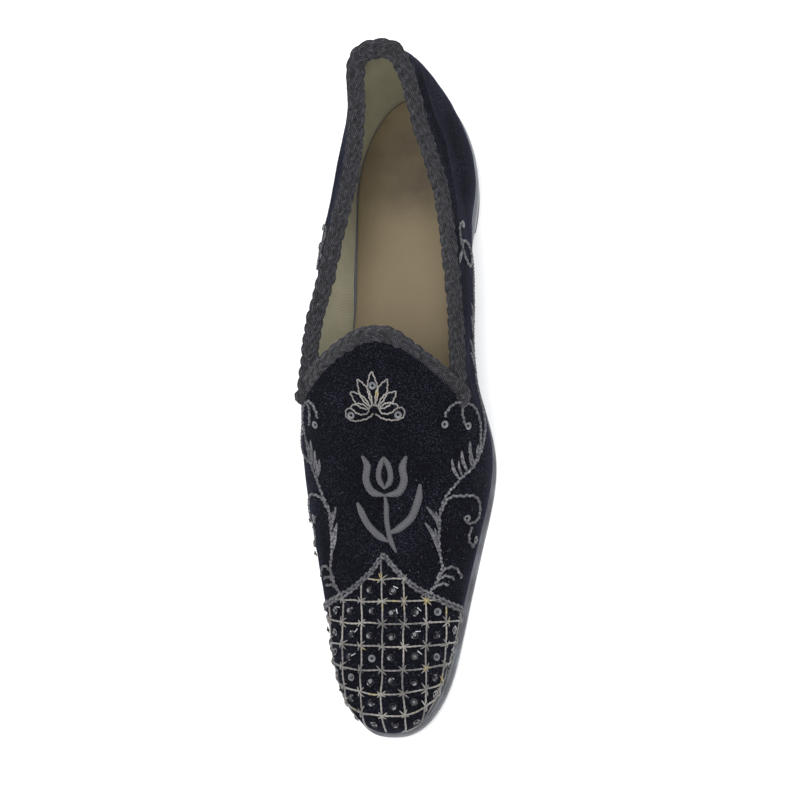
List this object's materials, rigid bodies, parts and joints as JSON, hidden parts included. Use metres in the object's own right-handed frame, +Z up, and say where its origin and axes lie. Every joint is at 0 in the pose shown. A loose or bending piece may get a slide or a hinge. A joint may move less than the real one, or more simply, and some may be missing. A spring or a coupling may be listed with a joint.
{
  "type": "velvet slipper",
  "caption": "Full-backed velvet house slipper for the right foot, with a rounded vamp tab, plaited braid round the collar, leather sole and low stacked heel.",
  "frame": {"origin": "centre of the bounding box seen from above, on the plane the shoe stands on", "axes": "+X to the inner (medial) side of the foot, +Y from the toe to the heel, +Z up"},
  "size_m": [0.0828, 0.2926, 0.0787],
  "materials": {
    "outsole": "smooth, edge waxed grey",
    "heel_lift": "worn smooth",
    "heel_stack": "waxed stacked leather",
    "insole": "matt",
    "velvet": "cut-pile velvet",
    "braid": "matt plaited braid"
  },
  "bodies": {
    "root": {"outsole": "outsole", "heel_lift": "heel_lift", "heel_stack": "heel_stack", "insole": "insole", "upper": "velvet", "collar_braid": "braid", "vamp_braid": "braid"}
  },
  "joints": []
}
